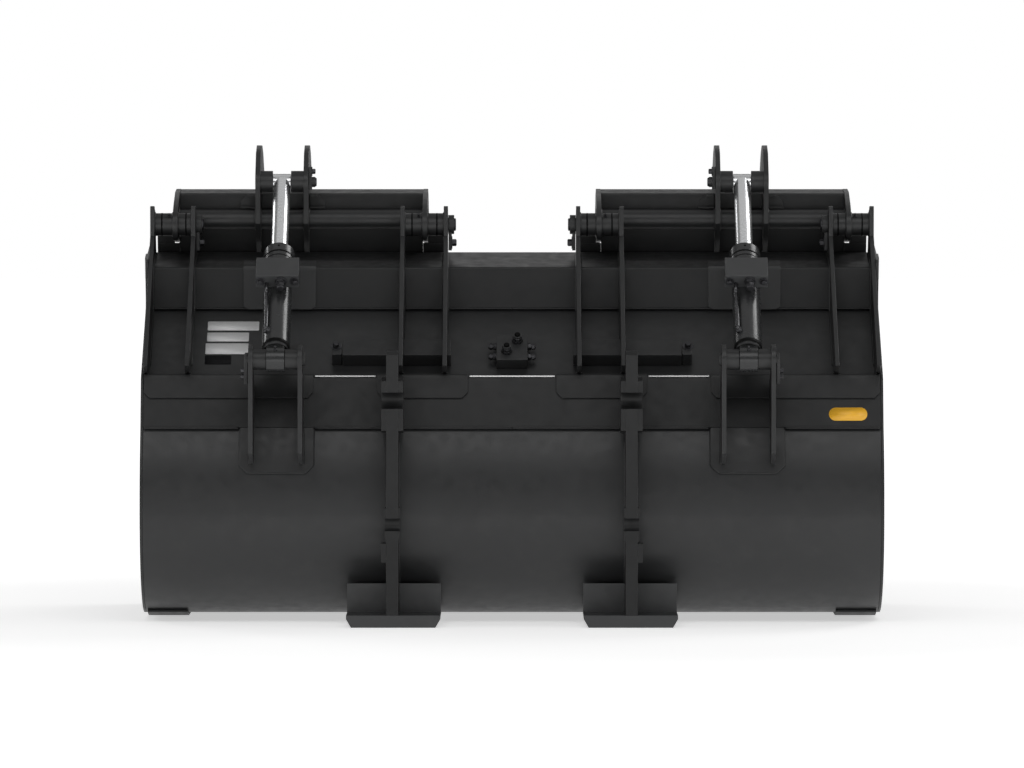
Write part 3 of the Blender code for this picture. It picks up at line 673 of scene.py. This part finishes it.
def beam_welds():
    """The long seams of both beams and the cutting edge, with gaps where hooks and clevises stand. They take
    the darkest paint: painted shade that keeps the shadow line under the lower beam dark.
    """
    work = bmesh.new()
    hook_gap, clevis_gap = 0.03, 0.14  # on either side of their middles
    end_x = INSIDE_X - 0.004
    stretches = (
        (0.0, HOOK_X - hook_gap),
        (HOOK_X + hook_gap, CYLINDER_X - clevis_gap),
        (CYLINDER_X + clevis_gap, end_x),
    )
    low_seam = (LOW_BEAM[0][0] - 0.0015, LOW_BEAM[0][1] - 0.0015)
    high_seam = (HIGH_BEAM[0][0] - 0.0015, HIGH_BEAM[0][1] - 0.0025)
    for side in (-1, 1):
        for start, end in stretches:
            bead(work, [(side * start, *low_seam), (side * end, *low_seam)], 0.0038)
        bead(work, [(0, *high_seam), (side * end_x, *high_seam)], 0.0038)
    edge_x = INSIDE_X - 0.02
    edge_seam = (1.2225, 0.0255)  # where the floor meets the cutting edge
    bead(work, [(-edge_x, *edge_seam), (edge_x, *edge_seam)], 0.005)
    piece("beam_welds", work, SHADE_PAINT, "bucket")


def beam_painted_highlight():
    """A pale white bead on the lower beam's bend, between the doubler plates: a painted highlight of the
    bend.
    """
    work = bmesh.new()
    seam = (LOW_BEAM[1][0] - 0.0035, LOW_BEAM[1][1] + 0.0005)
    for start, end in ((-0.158, 0.158), (-0.728, -0.504), (0.504, 0.728)):
        bead(work, [(start, *seam), (end, *seam)], 0.0026)
    piece("beam_painted_highlight", work, WHITE_FILM_AND_HIGHLIGHT, "bucket")


def valve_fittings():
    """Unions on the valve block's ends, and nuts and caps on its two cartridges."""
    work, tips = bmesh.new(), bmesh.new()
    for side in (-1, 1):
        for along in (0.038, 0.098):
            union(work, on_back(side * 0.0577, along, 0.022).translation, (side, 0, 0), 0.024, 0.030)
    for x, along in ((-0.020, 0.039), (0.020, 0.101)):
        at = on_back(x, along)
        prism(work, hexagon(0.036), 0.0446, 0.0555, at)
        lathe(work, [(0.0178, 0.060), (0.0178, 0.065), (0.0168, 0.067), (0, 0.067)], at)
        lathe(tips, [(0.0105, 0.0745), (0.0105, 0.080), (0.0090, 0.082), (0, 0.082)], at, 24)
    piece("valve_fittings", work, PLATED, "bucket", FINE_EDGE)
    piece("valve_caps", tips, RUBBER_AND_SHADE, "bucket", FINE_EDGE)


def upper_doubler(side_name, side):
    """The plate lapped over the upper beam's bend behind each cylinder, its lower corners cut off."""
    middle_x, half, thick, gap, cut = 0.871, 0.136, 0.008, 0.0006, 0.020
    foot, bend, lip = (Vector(point) for point in HIGH_BEAM)
    low = foot - (bend - foot).normalized() * 0.006
    turn = [foot.lerp(bend, share) for share in (0.03, 0.86)]
    over, end = bend.lerp(lip, 0.10), bend.lerp(lip, 0.30)
    corner = (turn[1] + over) / 2 * 0.35 + bend * 0.65
    line = [tuple(p) for p in (low, turn[0], turn[1], corner, over, end)]
    widths = (half - cut, half, half, half, half, half)
    work = bmesh.new()
    rows = []
    for (oy, oz), (iy, iz), width in zip(beside(line, -thick - gap), beside(line, -gap), widths):
        row = [(-width, oy, oz), (width, oy, oz), (width, iy, iz), (-width, iy, iz)]
        rows.append([work.verts.new((side * middle_x + x, y, z)) for x, y, z in row])
    for first, second in zip(rows, rows[1:]):
        for k in range(4):
            work.faces.new((first[k], first[(k + 1) % 4], second[(k + 1) % 4], second[k]))
    work.faces.new(rows[0])
    work.faces.new(rows[-1])
    piece(f"upper_doubler_{side_name}", work, PAINT, "bucket", 0.0010)


def hinge_bolts(side_name, side):
    """The bolt of each hinge pin's flag, and the cap on the pin's end."""
    work = bmesh.new()
    inward = (-side, 0, 0)
    flag_drop = 0.068  # from the pin to the bolt
    for flag_x, pin_x in ((1.1775, 1.1685), (0.2270, 0.2180)):
        bolt(work, (side * flag_x, HINGE[0], HINGE[1] - flag_drop), inward, 0.024)
        cap = facing((side * pin_x, *HINGE), inward)
        lathe(work, [(0.024, 0), (0.024, 0.004), (0.021, 0.007), (0, 0.007)], cap)
    piece(f"hinge_bolts_{side_name}", work, PLATED, "bucket", FINE_EDGE)


def boss_welds(side_name, side):
    """Ring welds of the spacer bosses on the bearing plates."""
    work = bmesh.new()
    for x, inner in zip(EAR_X, (-1, 1, -1, 1)):
        bead(work, circle_at(HINGE, HUB_R + 0.001, side * (x + inner * EAR_HALF)), 0.0035, closed=True)
    piece(f"boss_welds_{side_name}", work, CASTING, "bucket")


def pivot_seals(side_name, side):
    """Dark seals in the gaps between the hinge hubs and the bosses."""
    work = bmesh.new()
    inner_r, outer_r, half = HUB_R - 0.003, HUB_R + 0.0005, 0.0026
    section = [(inner_r, -half), (outer_r, -half), (outer_r, half), (inner_r, half)]
    for x in (1.3185, 1.2280, 0.3765, 0.2830):
        lathe(work, section, facing((side * x, *HINGE), (1, 0, 0)), 40, ring=True)
    piece(f"pivot_seals_{side_name}", work, RUBBER_AND_SHADE, "bucket")


def ear_welds(side_name, side):
    """Fillets where each bearing plate meets the beams and the back."""
    work = bmesh.new()
    low_seam = [(0.142, 0.9245), (0.180, 0.9225)]
    high_seam = [(0.272, 0.951), (0.530, 1.1455), (0.5385, 1.3075), (0.560, 1.3150), (0.790, 1.3565)]
    for x in EAR_X:
        for end in (-1, 1):
            face = side * x + end * (EAR_HALF + 0.0005)
            for seam in (low_seam, high_seam):
                bead(work, [(face, y, z) for y, z in seam])
    piece(f"ear_welds_{side_name}", work, PAINT, "bucket")


def coupler_welds(side_name, side):
    """Fillets of the coupler plate on the shell, and of the clevis and its pad."""
    work = bmesh.new()
    seam = arc(BACK_MID, BACK_R + 0.0015, 157, 180, 8) + arc(HEEL_MID, HEEL_R + 0.0015, 180, 236, 16)[1:]
    for end in (-1, 1):
        bead(work, [(side * HOOK_X + end * (HOOK_HALF + 0.0005), y, z) for y, z in seam])
    x = side * CYLINDER_X
    pad_half, low, high, cut = 0.1345, 0.562, 0.722, 0.028
    between = (0.63, 0.67)  # heights at which the seams bend with the shell
    pad_face, pad_foot = 0.0115, 0.004  # behind the shell
    foot = heel_y(low) - pad_foot
    for end in (-1, 1):
        plate_x = x + end * (PLATE_HALF + 0.0085)
        rim_x = x + end * (pad_half + 0.001)
        bead(work, [(plate_x, heel_y(z) - pad_face, z) for z in (low + 0.03, *between, high - 0.004)])
        rim = [(rim_x, heel_y(z) - pad_foot, z) for z in (low + cut, *between, high)]
        bead(work, [(x + end * (pad_half - cut), foot, low)] + rim)
    bead(work, [(x - pad_half + cut, foot, low), (x + pad_half - cut, foot, low)])
    piece(f"coupler_welds_{side_name}", work, PAINT, "bucket")


def keeper_bolts(side_name, side):
    """Two keeper bolts beside each base pin, and the fitting on the bulkhead block."""
    work = bmesh.new()
    for dz in (-0.062, -0.040):
        place = (side * (CYLINDER_X + 0.1148), BASE_PIN[0], BASE_PIN[1] + dz)
        bolt(work, place, (side, 0, 0), 0.017)
    bolt(work, on_back(side * 0.654, 0.062, 0.0525).translation, (0, *OFF_BACK), 0.022)
    piece(f"keeper_bolts_{side_name}", work, PLATED, "bucket", FINE_EDGE)


def bulkhead(side_name, side):
    """The block that closes the outer end of each hose guard."""
    work = bmesh.new()
    prism(work, rounded_box(0.036, 0.066, 0.004), 0.0006, 0.0525, on_back(side * 0.6500, 0.047))
    piece(f"bulkhead_{side_name}", work, CASTING, "bucket", PLATE_EDGE)


def heel_runner(side_name, side):
    """The wear plate under the heel at each end."""
    work = bmesh.new()
    profile = arc(HEEL_MID, HEEL_R + 0.001, 252, 270, 8) + [(0.64, 0.0230)]
    bent_sheet(work, profile, *sorted((side * 1.205, side * 1.355)), 0.010)
    piece(f"heel_runners_{side_name}", work, CASTING, "bucket", PLATE_EDGE)


# Details of a clamp


def channel_web(side_name, side):
    """The channel's web between and beside the claws; beside them it has flanges and a slanted corner. All of
    it takes the darkest paint: painted shade of the recess under the top flange.
    """
    work = bmesh.new()
    low, high = 1.526, 1.583
    gap, reach, slant = TINE_HALF + 0.0025, 0.0695, 0.030
    face = CHANNEL_REAR - 0.0003
    web_rear, flange_rear = face - 0.008, face - 0.042
    claws = [side * x for x in CLAW_X]
    for claw, outward in zip(claws, (side, -side)):
        near, far = claw + outward * gap, claw + outward * reach
        high_far = far - outward * slant
        outline = [(near, low), (far, low), (far, high - slant), (high_far, high), (near, high)]
        prism(work, outline, web_rear, face, UPRIGHT)
        for bottom, top, end in ((high - 0.013, high, high_far), (low, low + 0.007, far)):
            flange = [(near, bottom), (end, bottom), (end, top), (near, top)]
            prism(work, flange, flange_rear, web_rear - 0.0003, UPRIGHT)
    inner, outer = min(claws) + gap, max(claws) - gap
    prism(work, [(inner, low), (outer, low), (outer, high), (inner, high)], web_rear, face, UPRIGHT)
    piece(f"channel_web_{side_name}", work, SHADE_PAINT, f"clamp_{side_name}", PLATE_EDGE)


def deck_wings(side_name, side):
    """Small plates that carry the deck sheet on past the side tines, in the darkest paint, the painted-shade
    black.
    """
    work = bmesh.new()
    upper, lower = ((0.8505, 1.446), (0.8670, 1.396)), ((0.8670, 1.396), (0.8815, 1.352))
    for tine, outward, reach in ((TINE_X[0], side, 0.0755), (TINE_X[1], -side, 0.0690)):
        tip = side * tine + outward * reach
        for near, line in ((TINE_HALF + 0.0005, upper), (-TINE_HALF, lower)):
            bent_sheet(work, line, *sorted((side * tine + outward * near, tip)), 0.008)
    piece(f"deck_wings_{side_name}", work, SHADE_PAINT, f"clamp_{side_name}", PLATE_EDGE)


def clamp_welds(side_name, side):
    """Ring welds of the torque tube, the cross bar and the hubs on the tines and claws."""
    work = bmesh.new()
    off = TINE_HALF + 0.0004
    for x in TINE_X + CLAW_X:
        for end in (-1, 1):
            face = side * x + end * off
            bead(work, circle_at(TUBE, TUBE_R + 0.0012, face), 0.0038, closed=True)
            bead(work, circle_at(BAR, BAR_R + 0.0012, face, 20), 0.0036, closed=True)
    for x in TINE_X:
        for end in (-1, 1):
            bead(work, circle_at(HINGE, HUB_R + 0.001, side * x + end * off), 0.0036, closed=True)
    piece(f"clamp_welds_{side_name}", work, PAINT, f"clamp_{side_name}")


def clamp_bolts(side_name, side):
    """The rod pin's keeper bolt and end cap, and grease nipples on the hinge hubs."""
    work = bmesh.new()
    inward = (-side, 0, 0)
    bolt(work, (side * (CYLINDER_X - 0.1128), ROD_PIN[0], ROD_PIN[1] + 0.040), inward, 0.018)
    cap = facing((side * (CYLINDER_X - 0.1248), *ROD_PIN), inward)
    lathe(work, [(0.017, -0.001), (0.017, 0.003), (0.014, 0.006), (0, 0.006)], cap, 24)
    for x in TINE_X:
        nipple(work, (side * (x + 0.024), HINGE[0] - 0.030, HINGE[1] + 0.0295), (0, -0.71, 0.70))
    piece(f"clamp_bolts_{side_name}", work, PLATED, f"clamp_{side_name}", FINE_EDGE)


# Details of a cylinder, in the frame of its own axis

BARREL_R = 0.052
GLAND_FROM, GLAND_TO, GLAND_R = 0.500, 0.615, 0.0585
PORTS = (0.357, 0.465)  # along the axis, the port block's ends
UPPER = -1  # the side of local Y that is turned up


def cylinder_frame(side):
    """The frame at the base pin: +Z along the axis, +X across."""
    z = CYLINDER_AXIS
    x = Vector((1, 0, 0))
    turned = Matrix((x, z.cross(x), z)).transposed().to_4x4()
    return Matrix.Translation((side * CYLINDER_X, *BASE_PIN)) @ turned


def on_cylinder(side, s, out, x=0.0):
    """A place s along the axis, out from it on the upper side and x across."""
    return cylinder_frame(side) @ Vector((x, UPPER * out, s))


def gland_rings(side_name, side):
    """Near-black rings and discs that paint the shade of the gland's grooves and wrench holes, the rod's
    wiper, and the ring at the barrel's base, partly a seal and partly a painted shadow of the gap under the
    barrel.
    """
    work = bmesh.new()
    at = cylinder_frame(side)
    inner, outer = GLAND_R - 0.001, GLAND_R + 0.0006
    # near-black rings a little proud of the gland: painted shade of its grooves
    groove_shades = [[(inner, s), (outer, s), (outer, s + wide), (inner, s + wide)]
                for s, wide in ((0.562, 0.007), (0.540, 0.003))]
    wiper = [(0.0334, GLAND_TO), (0.046, GLAND_TO), (0.043, GLAND_TO + 0.007), (0.0345, GLAND_TO + 0.009)]
    for section in (*groove_shades, wiper):
        lathe(work, section, at, 48, ring=True)
    # near-black discs on the gland: painted shade of its wrench holes
    quarter = math.radians(90)
    for k in range(4):
        turn = Matrix.Rotation(quarter * k, 4, "Z")
        lift = Matrix.Translation((0, UPPER * (GLAND_R - 0.0004), 0.592))
        hole = at @ turn @ lift @ Matrix.Rotation(quarter, 4, "X")
        lathe(work, [(0.0045, -0.001), (0.0045, 0.0010), (0, 0.0010)], hole, 16)
    # the seal at the barrel's base, widened into a painted shadow of the gap under the barrel
    base_seal_and_shadow = [(0.049, 0.0465), (0.0508, 0.0465), (0.0508, 0.0655), (0.049, 0.0655)]
    lathe(work, base_seal_and_shadow, at, 48, ring=True)
    piece(f"gland_rings_{side_name}", work, RUBBER_AND_SHADE, f"barrel_{side_name}")


def barrel_welds(side_name, side):
    """Welds of the gland's collar, the base eye and the port block."""
    work = bmesh.new()
    at = cylinder_frame(side)
    for s, r in ((GLAND_FROM - 0.001, BARREL_R + 0.002), (0.040, 0.046)):
        bead(work, [at @ Vector((u, v, s)) for u, v in polygon(r, 30)], 0.0036, closed=True)
    seam_out, seam_x = 0.046, 0.04898  # of the seams under the port block
    for x in (-seam_x, seam_x):
        ends = [on_cylinder(side, s, seam_out, x) for s in (PORTS[0] + 0.004, PORTS[1] - 0.004)]
        bead(work, ends, 0.004)
    piece(f"barrel_welds_{side_name}", work, CASTING, f"barrel_{side_name}")


def cylinder_fittings(side_name, side):
    """Bolts and union on the port block's lower end, and the boss where the steel line ends."""
    work = bmesh.new()
    turned = cylinder_frame(side).to_3x3()
    down = turned @ Vector((0, 0, -1))
    for x in (-0.064, 0.064):
        bolt(work, on_cylinder(side, PORTS[0], 0.078, x), down, 0.019)
    union(work, on_cylinder(side, PORTS[0], 0.080, 0.012), down, 0.034, 0.046)
    boss = facing(on_cylinder(side, 0.115, 0.041, -0.031), turned @ Vector((-0.60, UPPER * 0.80, 0)))
    lathe(work, [(0.013, -0.004), (0.013, 0.010), (0.009, 0.014), (0, 0.014)], boss, 24)
    piece(f"cylinder_fittings_{side_name}", work, PLATED, f"barrel_{side_name}", FINE_EDGE)


def steel_line(side_name, side):
    """The pressure line from the port block to the boss near the barrel's base."""
    route = (  # along the axis, out, across
        (0.362, 0.066, -0.040),
        (0.335, 0.066, -0.040),
        (0.322, 0.052, -0.040),
        (0.300, 0.050, -0.039),
        (0.230, 0.051, -0.038),
        (0.140, 0.051, -0.037),
        (0.121, 0.053, -0.038),
        (0.115, 0.046, -0.034),
    )
    points = [on_cylinder(side, *step) for step in route]
    pipe(f"steel_line_{side_name}", points, 0.0078, LINE, f"barrel_{side_name}")


def base_nipple(side_name, side):
    """The grease nipple on top of the base eye."""
    work = bmesh.new()
    up = cylinder_frame(side).to_3x3() @ Vector((0, UPPER, 0))
    nipple(work, on_cylinder(side, 0.0, 0.0455), up)
    piece(f"base_nipple_{side_name}", work, PLATED, f"barrel_{side_name}")


# Making all of it

make_camera()
make_floor()
make_sky()
make_lamps()
dress_nodes()

for detail in (labels, badge, beam_welds, beam_painted_highlight, valve_fittings):
    detail()

SIDE_DETAILS = (
    upper_doubler,
    hinge_bolts,
    boss_welds,
    pivot_seals,
    ear_welds,
    coupler_welds,
    keeper_bolts,
    bulkhead,
    heel_runner,
    channel_web,
    deck_wings,
    clamp_welds,
    clamp_bolts,
    gland_rings,
    barrel_welds,
    cylinder_fittings,
    steel_line,
    base_nipple,
)
for side_name, side in SIDES:
    for detail in SIDE_DETAILS:
        detail(side_name, side)
